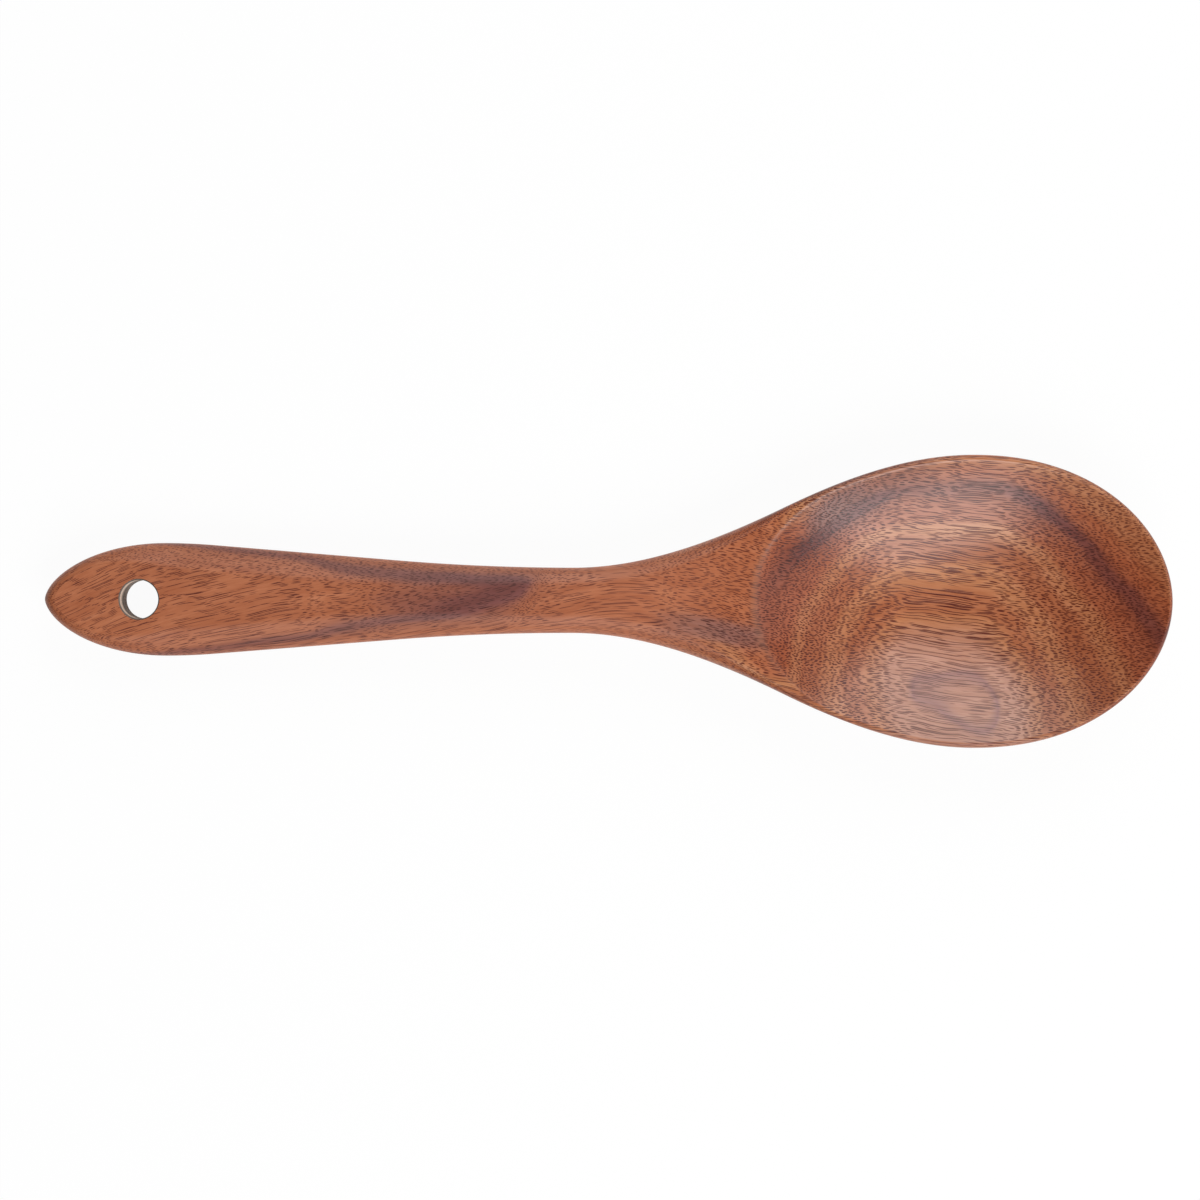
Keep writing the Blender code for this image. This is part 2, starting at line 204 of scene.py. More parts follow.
class SpoonForm:
    """The surfaces of the carved spoon, worked out from its sizes."""

    NECK_TOP_SLOPE = 0.02
    NECK_SOLE_SLOPE = 0.04
    HEEL_SLOPE = -0.15
    NOSE_SLOPE = 0.05
    HOLLOW_END_POWER = 2.5  # fullness of the hollow's end at the neck, where 2 is an ellipse
    SOLE_SHARE = 0.17  # share of the underside's width that is flat
    HANDLE_BELLY = 0.5  # power of the underside's section, where 0.5 is an ellipse
    BOWL_BELLY = 0.8
    NARROWEST_TOP = 0.15  # share of the width that the edges always leave to the top face
    # Shares of the way from the grip's widest line to the neck
    TAPER_SPAN = (0.12, 0.57)
    FLAT_END = 0.64
    GRIP_EDGE_SPAN = (0.06, 0.4)
    BUTT_EDGE_END = 0.27  # share of the way from the butt to the grip's widest line
    NECK_EDGE_END = 0.2  # share of the way from the neck to the bowl's widest line
    ROUND_SWEEP = math.radians(50)  # from the upright side to the bevel's slope
    # Width and drop of the rounding, width and drop of the bevel, and the softness of its inner
    # edge, in millimetres
    BUTT_EDGE = (1.0, 2.6, 1.0, 0.8, 0.7)
    GRIP_EDGE = (2.7, 3.7, 3.6, 2.0, 1.5)
    NECK_EDGE = (1.6, 3.5, 2.1, 1.2, 1.3)
    RIM_EDGE = (0.35, 0.9, 0.4, 0.4, 0.12)
    EDGE_SAMPLES = 400

    def __init__(self, sizes):
        self.sizes = sizes
        self.neck = sizes.handle_length
        self.bowl = self.neck + sizes.neck_to_bowl
        self.end = self.bowl + sizes.nose_length
        self.bowl_half = (SPOON_HIGH.y - SPOON_LOW.y) / 2
        self.deepest = self.bowl - sizes.floor_setback
        self.floor = sizes.bowl_height - sizes.hollow_depth
        self.hollow_end = self.bowl - sizes.hollow_back
        self.hollow_full = self.bowl - sizes.hollow_turn
        self.flare = between(self.neck, self.bowl, sizes.flare_share)
        self.outline = self.outline_knots()
        self.top = self.top_knots()
        self.sole = self.sole_knots()
        self.belly = [(self.neck, self.HANDLE_BELLY, 0), (self.bowl, self.BOWL_BELLY, 0)]
        self.edges = self.edge_knots()
        self.hollow = self.hollow_edge()

    def on_handle(self, part):
        """Place at a share of the way from the grip's widest line to the neck."""
        return between(self.sizes.grip_head, self.neck, part)

    def outline_knots(self):
        sizes = self.sizes
        half, neck_half = sizes.grip_width / 2, sizes.neck_width / 2
        taper_start, taper_end = (self.on_handle(part) for part in self.TAPER_SPAN)
        start_half = half - sizes.grip_taper * (taper_start - sizes.grip_head) / 2
        end_half = start_half - sizes.grip_taper * (taper_end - taper_start)
        steepest = sizes.flare_steepness * (self.bowl_half - neck_half) / sizes.neck_to_bowl
        return [
            (sizes.grip_head, half, 0),
            (taper_start, start_half, -sizes.grip_taper),
            (taper_end, end_half, -sizes.grip_taper),
            (self.neck, neck_half, 0),
            (self.flare, between(neck_half, self.bowl_half, sizes.flare_rise), steepest),
            (self.bowl, self.bowl_half, 0),
        ]

    def top_knots(self):
        sizes = self.sizes
        butt = sizes.grip_thickness - sizes.grip_slope * sizes.grip_head
        flat_end = self.on_handle(self.FLAT_END)
        return [
            (0, butt, sizes.grip_slope),
            (flat_end, butt + sizes.grip_slope * flat_end, sizes.grip_slope),
            (self.neck, sizes.neck_lift + sizes.neck_thickness, self.NECK_TOP_SLOPE),
            (self.bowl, sizes.bowl_height, 0),
            (self.end, sizes.bowl_height + sizes.nose_rise, self.NOSE_SLOPE),
        ]

    def sole_knots(self):
        return [
            (self.sizes.grip_head, 0, 0),
            (self.neck, self.sizes.neck_lift, self.NECK_SOLE_SLOPE),
            (self.flare, self.sizes.heel_lift, self.HEEL_SLOPE),
            (self.deepest, 0, 0),
            (self.end, 0, 0),
        ]

    def edge_knots(self):
        """Knots for each of the edge's five sizes, held along butt, grip, neck and rim."""
        places = [
            (between(0, self.sizes.grip_head, self.BUTT_EDGE_END), self.BUTT_EDGE),
            *((self.on_handle(part), self.GRIP_EDGE) for part in self.GRIP_EDGE_SPAN),
            (self.neck, self.NECK_EDGE),
            (between(self.neck, self.bowl, self.NECK_EDGE_END), self.NECK_EDGE),
            (self.hollow_full, self.RIM_EDGE),
        ]
        count = len(self.RIM_EDGE)
        return [[(place, edge[i] * MM, 0) for place, edge in places] for i in range(count)]

    def rounded_end(self, distance, reach, power, fullness):
        """Share of the full width at a distance from an end's widest line."""
        return max(1 - (distance / reach) ** power, 0.0) ** fullness

    def half_width(self, place):
        sizes = self.sizes
        if place < sizes.grip_head:
            reach = sizes.grip_head
            form = (sizes.butt_power, sizes.butt_fullness)
            return sizes.grip_width / 2 * self.rounded_end(reach - place, reach, *form)
        if place > self.bowl:
            form = (sizes.nose_power, sizes.nose_fullness)
            return self.bowl_half * self.rounded_end(place - self.bowl, sizes.nose_length, *form)
        return curve(self.outline, place)

    def top_height(self, place):
        return curve(self.top, place)

    def edge(self, place):
        return [curve(knots, place) for knots in self.edges]

    def drawn_in(self, place, along, across):
        """The outline's point at a place, with its end drawn in along and its width across."""
        width = self.half_width(place) * across
        if place < self.sizes.grip_head:
            place = between(self.sizes.grip_head, place, along)
        if place > self.bowl:
            place = between(self.bowl, place, along)
        return place, width

    def inset_point(self, place, inset):
        """The outline's point at a place, moved inwards by an inset."""
        end = self.sizes.grip_head if place < self.sizes.grip_head else self.sizes.nose_length
        full = self.half_width(min(max(place, self.sizes.grip_head), self.bowl))
        inset = min(inset, full * (1 - self.NARROWEST_TOP))
        return self.drawn_in(place, 1 - inset / end, 1 - inset / full)

    def hollow_edge(self):
        """The hollow's edge as angles about its deepest point, with reach, place and softness."""
        sizes = self.sizes
        table = []
        for i in range(self.EDGE_SAMPLES):
            angle = math.pi / 2 * i / self.EDGE_SAMPLES
            power = 2 / self.HOLLOW_END_POWER
            place = between(self.hollow_full, self.hollow_end, math.cos(angle) ** power)
            width = (self.half_width(place) - sizes.rim_width) * math.sin(angle) ** power
            table.append((place, width, between(sizes.rim_lip, sizes.neck_lip, math.cos(angle) ** 2)))
        for i in range(self.EDGE_SAMPLES + 1):
            bend = math.sin(math.pi / 2 * i / self.EDGE_SAMPLES)
            place = between(self.hollow_full, self.end, bend)
            inset = between(sizes.rim_width, sizes.nose_rim, bend**4)
            table.append((*self.inset_point(place, inset), sizes.rim_lip))
        rows = []
        for place, width, lip in table:
            reach = math.hypot(place - self.deepest, width)
            rows.append((math.atan2(width, self.deepest - place), reach, place, lip / reach))
        return np.array(rows).T

    def from_edge(self, place, width):
        """Share of the way in from the hollow's edge, with the edge's reach, place and softness."""
        reach = math.hypot(place - self.deepest, width)
        angle = math.atan2(width, self.deepest - place)
        edge_reach, edge_place, lip = (np.interp(angle, self.hollow[0], row) for row in self.hollow[1:])
        return 1 - reach / edge_reach, edge_reach, edge_place, lip

    def lip_sheen(self, place, width):
        """How much painted sheen the hollow's lip takes, from 0 along the rim to 1 at the neck."""
        inwards, edge_reach, _, lip = self.from_edge(place, width)
        rim, neck = self.sizes.rim_lip, self.sizes.neck_lip
        at_neck = max((lip * edge_reach - rim) / (neck - rim), 0.0)
        return at_neck * math.exp(-((inwards * edge_reach / neck) ** 2))

    def surface_height(self, place, width):
        """Height of the top face, or of the hollow where it is scooped out."""
        inwards, _, edge_place, lip = self.from_edge(place, width)
        if inwards <= -lip:
            return self.top_height(place)
        ramp = max(inwards, 0.0)
        if inwards < lip:
            ramp = (inwards + lip) ** 2 / (4 * lip)
        top = self.top_height(edge_place if inwards > 0 else place)
        return top - (top - self.floor) * (2 * ramp - max(inwards, 0.0) ** 2)

    def belly_point(self, outline_place, part):
        """A point of the underside at a share of the width from its middle line."""
        place, width = self.drawn_in(outline_place, part, part)
        side = self.side_height(outline_place)
        rounding = (1 - max(part, self.SOLE_SHARE) ** 2) / (1 - self.SOLE_SHARE**2)
        fall = rounding ** curve(self.belly, place)
        return Vector((place, width, between(side, curve(self.sole, place), fall)))

    def side_height(self, place):
        round_drop, bevel_drop = self.edge(place)[1:4:2]
        return self.top_height(place) - bevel_drop - round_drop

    def edge_point(self, outline_place, step):
        """A point of the upper edge. Its step runs from 0 at the widest line by 1 each over the
        rounding, the bevel and the soft corner that leads into the top face."""
        round_width, round_drop, bevel_width, bevel_drop, soft = self.edge(outline_place)
        run, slope = round_width + bevel_width, bevel_drop / bevel_width
        if step <= 1:
            angle = self.ROUND_SWEEP * step
            inset = round_width * (1 - math.cos(angle)) / (1 - math.cos(self.ROUND_SWEEP))
            drop = bevel_drop + round_drop * (1 - math.sin(angle) / math.sin(self.ROUND_SWEEP))
        elif step <= 2:
            inset = between(round_width, run - soft, step - 1)
            drop = (run - inset) * slope
        else:
            corner = 3 - step
            inset = run + soft * (1 - 2 * corner)
            drop = soft * slope * corner**2
        place, width = self.inset_point(outline_place, inset)
        return Vector((place, width, self.top_height(outline_place) - drop))

    def top_point(self, outline_place, part):
        """A point of the top face or the hollow, at a share of the face's width."""
        rim = self.edge_point(outline_place, 3)
        return Vector((rim.x, rim.y * part, self.surface_height(rim.x, rim.y * part)))


class SkinGrid:
    """Columns along the spoon and rows from the underside's middle line to the top's."""

    BUTT_STEPS = 28
    HANDLE_STEPS = 94
    SHOULDER_STEPS = 72  # closest together, over the hollow's end at the neck
    BEFORE_HOLLOW = 6 * MM  # how far before the hollow's end these start
    PAST_TURN = 4 * MM  # how far past the hollow's turn they go
    BOWL_STEPS = 34
    NOSE_STEPS = 56
    BELLY_STEPS = 26
    ROUND_STEPS = 7
    BEVEL_STEPS = 3
    CORNER_STEPS = 5
    RIM_SHARES = [0.997, 0.9935, 0.989, 0.983, 0.974, 0.962, 0.946]
    TOP_STEPS = 56

    def __init__(self, form):
        self.form = form
        self.columns = self.make_columns()
        self.rows = self.make_rows()

    def make_columns(self):
        """Places along the outline, closer together towards both tips and at the shoulders."""
        form = self.form
        head = form.sizes.grip_head
        shoulder_start = form.hollow_end - self.BEFORE_HOLLOW
        shoulder_end = form.hollow_full + self.PAST_TURN
        places = [head * (1 - math.cos(math.pi / 2 * i / self.BUTT_STEPS)) for i in range(self.BUTT_STEPS)]
        spans = [
            (head, shoulder_start, self.HANDLE_STEPS),
            (shoulder_start, shoulder_end, self.SHOULDER_STEPS),
            (shoulder_end, form.bowl, self.BOWL_STEPS),
        ]
        for start, end, steps in spans:
            places += [between(start, end, i / steps) for i in range(steps)]
        for i in range(self.NOSE_STEPS + 1):
            places.append(between(form.bowl, form.end, math.sin(math.pi / 2 * i / self.NOSE_STEPS)))
        return places

    def make_rows(self):
        """Each row is a function of the form with its share or step."""
        form = self.form
        widest = math.acos(form.SOLE_SHARE)
        rows = [(form.belly_point, 0), (form.belly_point, form.SOLE_SHARE / 2)]
        for i in range(self.BELLY_STEPS):
            rows.append((form.belly_point, math.cos(widest * (1 - i / self.BELLY_STEPS))))
        rows += [(form.edge_point, i / self.ROUND_STEPS) for i in range(self.ROUND_STEPS)]
        rows += [(form.edge_point, 1 + i / self.BEVEL_STEPS) for i in range(self.BEVEL_STEPS)]
        rows += [(form.edge_point, 2 + i / self.CORNER_STEPS) for i in range(self.CORNER_STEPS + 1)]
        rows += [(form.top_point, part) for part in self.RIM_SHARES]
        last = self.RIM_SHARES[-1]
        rows += [(form.top_point, last * (1 - i / self.TOP_STEPS)) for i in range(1, self.TOP_STEPS + 1)]
        return rows

    def make_mesh(self):
        """A flat grid, bent into one half of the spoon's skin, mirrored and welded."""
        across, up = len(self.columns) - 1, len(self.rows) - 1
        mesh = bmesh.new()
        bmesh.ops.create_grid(mesh, x_segments=across, y_segments=up, size=1)
        for vert in mesh.verts:
            column = round((vert.co.x + 1) / 2 * across)
            point, at = self.rows[round((vert.co.y + 1) / 2 * up)]
            vert.co = point(self.columns[column], at)
        bmesh.ops.remove_doubles(mesh, verts=mesh.verts, dist=WELD)
        everything = mesh.verts[:] + mesh.edges[:] + mesh.faces[:]
        bmesh.ops.mirror(mesh, geom=everything, matrix=Matrix(), merge_dist=WELD, axis="Y")
        bmesh.ops.remove_doubles(mesh, verts=mesh.verts, dist=WELD)
        bmesh.ops.translate(mesh, vec=(SPOON_LOW.x, 0, 0), verts=mesh.verts)
        bmesh.ops.recalc_face_normals(mesh, faces=mesh.faces)
        return mesh


def add_object(name, mesh, *materials):
    data = bpy.data.meshes.new(name)
    mesh.to_mesh(data)
    mesh.free()
    for material in materials:
        data.materials.append(material)
    made = bpy.data.objects.new(name, data)
    bpy.context.scene.collection.objects.link(made)
    return made


# The hanging hole's eased mouths, in shares of their easing
MOUTH_ANGLES = [math.radians(angle) for angle in (0, 22, 44, 66)]  # from the wall outwards
LOWER_WIDENING = 0.6  # how far the lower mouth opens, against the upper one
LOWER_START = 1.6  # height above the table where it leaves the wall
LOWER_REACH = 1.5  # how far the cutter's foot stands out past the wall
UPPER_REACH = 3  # how far its head does
UPPER_OVERHANG = 2  # how high its head stands over the grip


def make_drill(form, material):
    """The cutter for the hanging hole, square to the grip's top, flaring out round its mouths."""
    sizes = form.sizes
    radius, ease = sizes.hole_diameter / 2, sizes.hole_ease
    top = form.top_height(sizes.hole_place)
    foot = -top
    profile = [(0, foot - ease), (radius + LOWER_REACH * ease, foot - ease)]
    for angle in reversed(MOUTH_ANGLES):
        width = radius + ease * (1 - math.cos(angle)) * LOWER_WIDENING
        profile.append((width, foot + ease * (LOWER_START - math.sin(angle))))
    for angle in MOUTH_ANGLES:
        width = radius + ease * (1 - math.cos(angle))
        profile.append((width, ease * (math.sin(angle) - 1)))
    head = UPPER_OVERHANG * ease
    profile += [(radius + UPPER_REACH * ease, head), (0, head)]
    mesh = bmesh.new()
    verts = [mesh.verts.new((x, 0, z)) for x, z in profile]
    edges = [mesh.edges.new(pair) for pair in zip(verts, verts[1:])]
    turn = {"cent": (0, 0, 0), "axis": (0, 0, 1), "angle": 2 * math.pi, "steps": 96}
    bmesh.ops.spin(mesh, geom=verts + edges, use_merge=True, **turn)
    bmesh.ops.remove_doubles(mesh, verts=mesh.verts, dist=WELD)
    bmesh.ops.recalc_face_normals(mesh, faces=mesh.faces)
    square = Vector((-sizes.grip_slope, 0, 1)).to_track_quat("Z", "Y").to_matrix().to_4x4()
    place = Matrix.Translation((SPOON_LOW.x + sizes.hole_place, 0, top))
    bmesh.ops.transform(mesh, matrix=place @ square, verts=mesh.verts)
    return add_object("drill", mesh, material)


def cut_away(body, cutter):
    """Cuts the cutter out of the body for good, and removes it."""
    boolean = body.modifiers.new(cutter.name, "BOOLEAN")
    boolean.operation = "DIFFERENCE"
    boolean.solver = "EXACT"
    boolean.material_mode = "TRANSFER"
    boolean.object = cutter
    view = bpy.context.evaluated_depsgraph_get()
    carved = bpy.data.meshes.new_from_object(body.evaluated_get(view))
    body.modifiers.clear()
    body.data = carved
    bpy.data.objects.remove(cutter)


LIP_SHEEN_STRENGTH = 0.28  # share of the painted sheen's colour where the lip takes the most of it


def mark_lip_sheen(spoon, form):
    """Marks the painted sheen of the hollow's lip at the neck on the mesh, for the wood's colour."""
    marks = spoon.data.attributes.new("lip_sheen", "FLOAT", "POINT")
    for vert, mark in zip(spoon.data.vertices, marks.data):
        if vert.normal.z > 0:
            mark.value = LIP_SHEEN_STRENGTH * form.lip_sheen(vert.co.x - SPOON_LOW.x, abs(vert.co.y))


def add(tree, kind, inputs=None, **settings):
    """Adds a node with its settings. Its inputs are given as values, sockets or nodes to link."""
    node = tree.nodes.new(kind)
    for name, value in settings.items():
        setattr(node, name, value)
    for socket, value in (inputs or {}).items():
        if isinstance(value, bpy.types.Node):
            value = value.outputs[0]
        if isinstance(value, bpy.types.NodeSocket):
            tree.links.new(value, node.inputs[socket])
        else:
            node.inputs[socket].default_value = value
    return node


def new_material(name):
    """An empty material with a Principled shader on its output."""
    material = bpy.data.materials.new(name)
    material.use_nodes = True
    tree = material.node_tree
    tree.nodes.clear()
    shader = add(tree, "ShaderNodeBsdfPrincipled")
    add(tree, "ShaderNodeOutputMaterial", {"Surface": shader})
    return material, tree, shader


# How the wood grew. Each pair is a place along X and a value there, in millimetres, or a height
# above the middle of the dark layer where the comment says "by height".
# Height of the dark layer's middle
DARK_LAYER_HEIGHT = [
    (-140, 4.7), (-101, 8.8), (-90, 9.8), (-76, 11.1), (-69, 12.3), (-60, 13.3), (-52, 14.15),
    (-40, 14.95), (-30, 15.6), (-23.5, 16.2), (-16.5, 18.2), (-8, 19.2), (4, 19.8), (20, 18.2),
    (30, 16.5), (40, 14.3), (45, 13.2), (52, 12.5), (62, 12.15), (73, 11.85), (85, 11.05),
    (97, 11.2), (112, 11.1), (123, 11.6), (131, 12.6), (137, 13.9), (140, 14.6),
]
# How far the layers shift along the spoon for each millimetre across
LAYER_SLANT = [
    (-140, 0), (-70, 0), (-45, 0.5), (-25, 0.6), (-5, 0.6), (20, 0.1), (40, 0.25), (50, 0.05),
    (60, 0), (140, 0),
]
# How strongly the dark layer shows. Over 1 its soft flanks darken too, so it looks wider.
DARK_LAYER_STRENGTH = [
    (-140, 0.3), (-100, 0.7), (-60, 0.8), (-30, 1), (-5, 1), (8, 0.4), (18, 0.05), (34, 0),
    (37, 0.15), (40, 0.45), (45, 0.7), (50, 1.1), (58, 1.5), (68, 1.2), (76, 0.75), (90, 0.65),
    (100, 0.85), (106, 1), (116, 0.95), (124, 0.85), (140, 0.8),
]
# How dark the dark layer is, by height
DARK_LAYER_DEPTH = [
    (-3.6, 0), (-2.6, 0.08), (-1.8, 0.18), (-1.2, 0.3), (-0.8, 0.45), (-0.45, 0.72), (-0.15, 0.97),
    (0.3, 1), (0.65, 0.8), (1.0, 0.4), (1.35, 0.12), (1.9, 0),
]
# Colours of the growth layers, by height. The mauve one draws a thin ring on the bowl's floor.
LAYER_COLOURS = [
    (-11.0, "rose"), (-10.27, "rose"), (-10.18, "mauve"), (-10.09, "rose"), (-9.6, "rose"),
    (-8.8, "golden"), (-8.3, "brown"), (-7.7, "brown"), (-7.0, "golden"), (-6.3, "golden"),
    (-5.7, "brown"), (-5.0, "brown"), (-4.4, "brown"), (-3.7, "golden"), (-3.2, "golden"),
    (-2.4, "russet"), (1.2, "russet"), (2.0, "orange"), (3.2, "golden"),
]
# Two faint purple stains: a far one over the dark layer at the hollow's far shoulder, by height,
# and a near one on the neck's near shoulder, by the place across the grain. Their grey-purple
# cast is partly the dark wood and partly a painted sheen.
FAR_STAIN_AND_SHEEN_ALONG = [
    (-140, 0), (45, 0), (50, 0.55), (57, 1), (65, 0.65), (75, 0.5), (85, 0.15), (91, 0), (140, 0),
]
FAR_STAIN_AND_SHEEN_UP = [
    (-12.0, 0), (0.2, 0), (1.0, 0.85), (1.7, 1), (2.8, 0.7), (3.9, 0.25), (5.0, 0), (12.0, 0),
]
NEAR_STAIN_AND_SHEEN_ALONG = [
    (-140, 0), (4, 0), (14, 0.4), (24, 0.8), (32, 0.9), (38, 0.6), (42, 0), (140, 0),
]
NEAR_STAIN_AND_SHEEN_ACROSS = [
    (-80, 0), (-41, 0), (-38, 0.6), (-35.5, 1), (-33, 0.8), (-29.5, 0), (40, 0),
]
# How far the fibres have moved across the board
GRAIN_SWEEP = [
    (-140, 0), (-131, 4.4), (-118, 9.6), (-104, 13.9), (-90, 17), (-77, 19.2), (-49, 22.8),
    (-30, 26), (-9, 29.6), (5, 31), (25, 29.6), (47, 26.1), (70, 23.8), (100, 20.2), (140, 18.6),
]
# How far the fibres have climbed away from the layers
GRAIN_CLIMB = [(-140, 0), (-75, 0), (-55, 1), (-22, 4.2), (-8, 4.6), (140, 4.6)]
# How plainly the vessels show, along X and by height
PORES_ALONG = [
    (-140, 1), (-60, 1), (-30, 0.9), (-12, 0.9), (0, 0.75), (6, 0.75), (12, 1), (30, 0.9), (44, 1),
    (100, 1), (130, 0.85), (140, 0.8),
]
PORES_UP = [
    (-12.0, 0.55), (-9.8, 0.8), (-8.6, 1.15), (-5.5, 1.15), (-4.3, 1.05), (-3.3, 1.1), (-1.8, 1.05),
    (1.0, 1), (3.0, 1), (6.0, 1),
]
# Tone of the hanging hole's wall, by the height above the table: darker at both mouths and half
# way down, and lighter near the bottom, where light from the floor is painted
HOLE_WALL_TONE_AND_LIGHT = [
    (0.0, 0.3), (0.5, 0.5), (1.2, 1.3), (4.0, 1.1), (6.0, 0.6), (7.8, 0.7), (8.8, 1.7), (11.2, 1.8),
    (11.7, 0.4), (12.3, 0.25),
]
# Waves of unevenness, with their size in millimetres along, across and up, and their detail.
# These go by the place in the board.
BOARD_WAVES = {
    "drift": ((24, 9, 9), 1.5),  # moves the layers up and down
    "sway": ((18, 10, 10), 1),  # moves the fibres to the sides
    "ripple": ((9, 3, 3), 1),  # does so again in small, mostly in the bowl
    "lift": ((12, 3, 3), 2),  # moves the fibres up and down
    "crowd": ((14, 5, 5), 2),  # makes the vessels wider here and there
}
# These follow the grain. Fibres are drawn 0.4 mm wide, because real ones are too fine to show.
GRAIN_WAVES = {"fibre": ((5, 0.4, 0.4), 4), "streak": ((40, 2.2, 2.2), 3)}
# This one follows the layers
RING_WAVES = {"ring": ((45, 30, 0.55), 2)}
# Rings that the drill left, 0.4 mm apart
DRILL_WAVES = {"turn": ((4, 4, 0.4), 2)}
DRILL_DARKEST = 0.6
DRILL_CONTRAST = 0.8


def follow(tree, value, points):
    """A value that follows a smooth curve through points of (input, output)."""
    start, end = points[0][0], points[-1][0]
    most = max(height for at, height in points)
    spread = add(tree, "ShaderNodeMapRange", {"Value": value, "From Min": start, "From Max": end})
    drawn = add(tree, "ShaderNodeFloatCurve", {"Value": spread})
    knots = drawn.mapping.curves[0].points
    while len(knots) < len(points):
        knots.new(0.5, 0.5)
    for knot, (at, height) in zip(knots, points):
        knot.location = ((at - start) / (end - start), height / most)
    drawn.mapping.update()
    return add(tree, "ShaderNodeMath", {0: drawn, 1: most}, operation="MULTIPLY")


def follow_both(tree, *pairs):
    """The product of two values that follow curves, each given with its points."""
    first, second = (follow(tree, value, points) for value, points in pairs)
    return add(tree, "ShaderNodeMath", {0: first, 1: second}, operation="MULTIPLY")


def find_place(tree):
    """The place in millimetres, as a vector and as its parts along X, Y and Z."""
    coordinates = add(tree, "ShaderNodeTexCoord").outputs["Object"]
    place = add(tree, "ShaderNodeMapping", {"Vector": coordinates, "Scale": (1 / MM,) * 3})
    return place, add(tree, "ShaderNodeSeparateXYZ", {0: place}).outputs


def make_waves(tree, place, waves):
    """Uneven waves from 0 to 1 at a place in millimetres, by name."""
    made = {}
    for name, (size, detail) in waves.items():
        scale = tuple(1 / side for side in size)
        stretched = add(tree, "ShaderNodeMapping", {"Vector": place, "Scale": scale})
        inputs = {"Vector": stretched, "Scale": 1.0, "Detail": detail}
        made[name] = add(tree, "ShaderNodeTexNoise", inputs)
    return made


def lay_coats(tree, wood, coats):
    """Lays tints over the wood in turn, each with its share and the way it blends."""
    for part, tint, blend in coats:
        inputs = {0: part, 6: wood, 7: (*tint, 1.0)}
        wood = add(tree, "ShaderNodeMix", inputs, data_type="RGBA", blend_type=blend).outputs[2]
    return wood


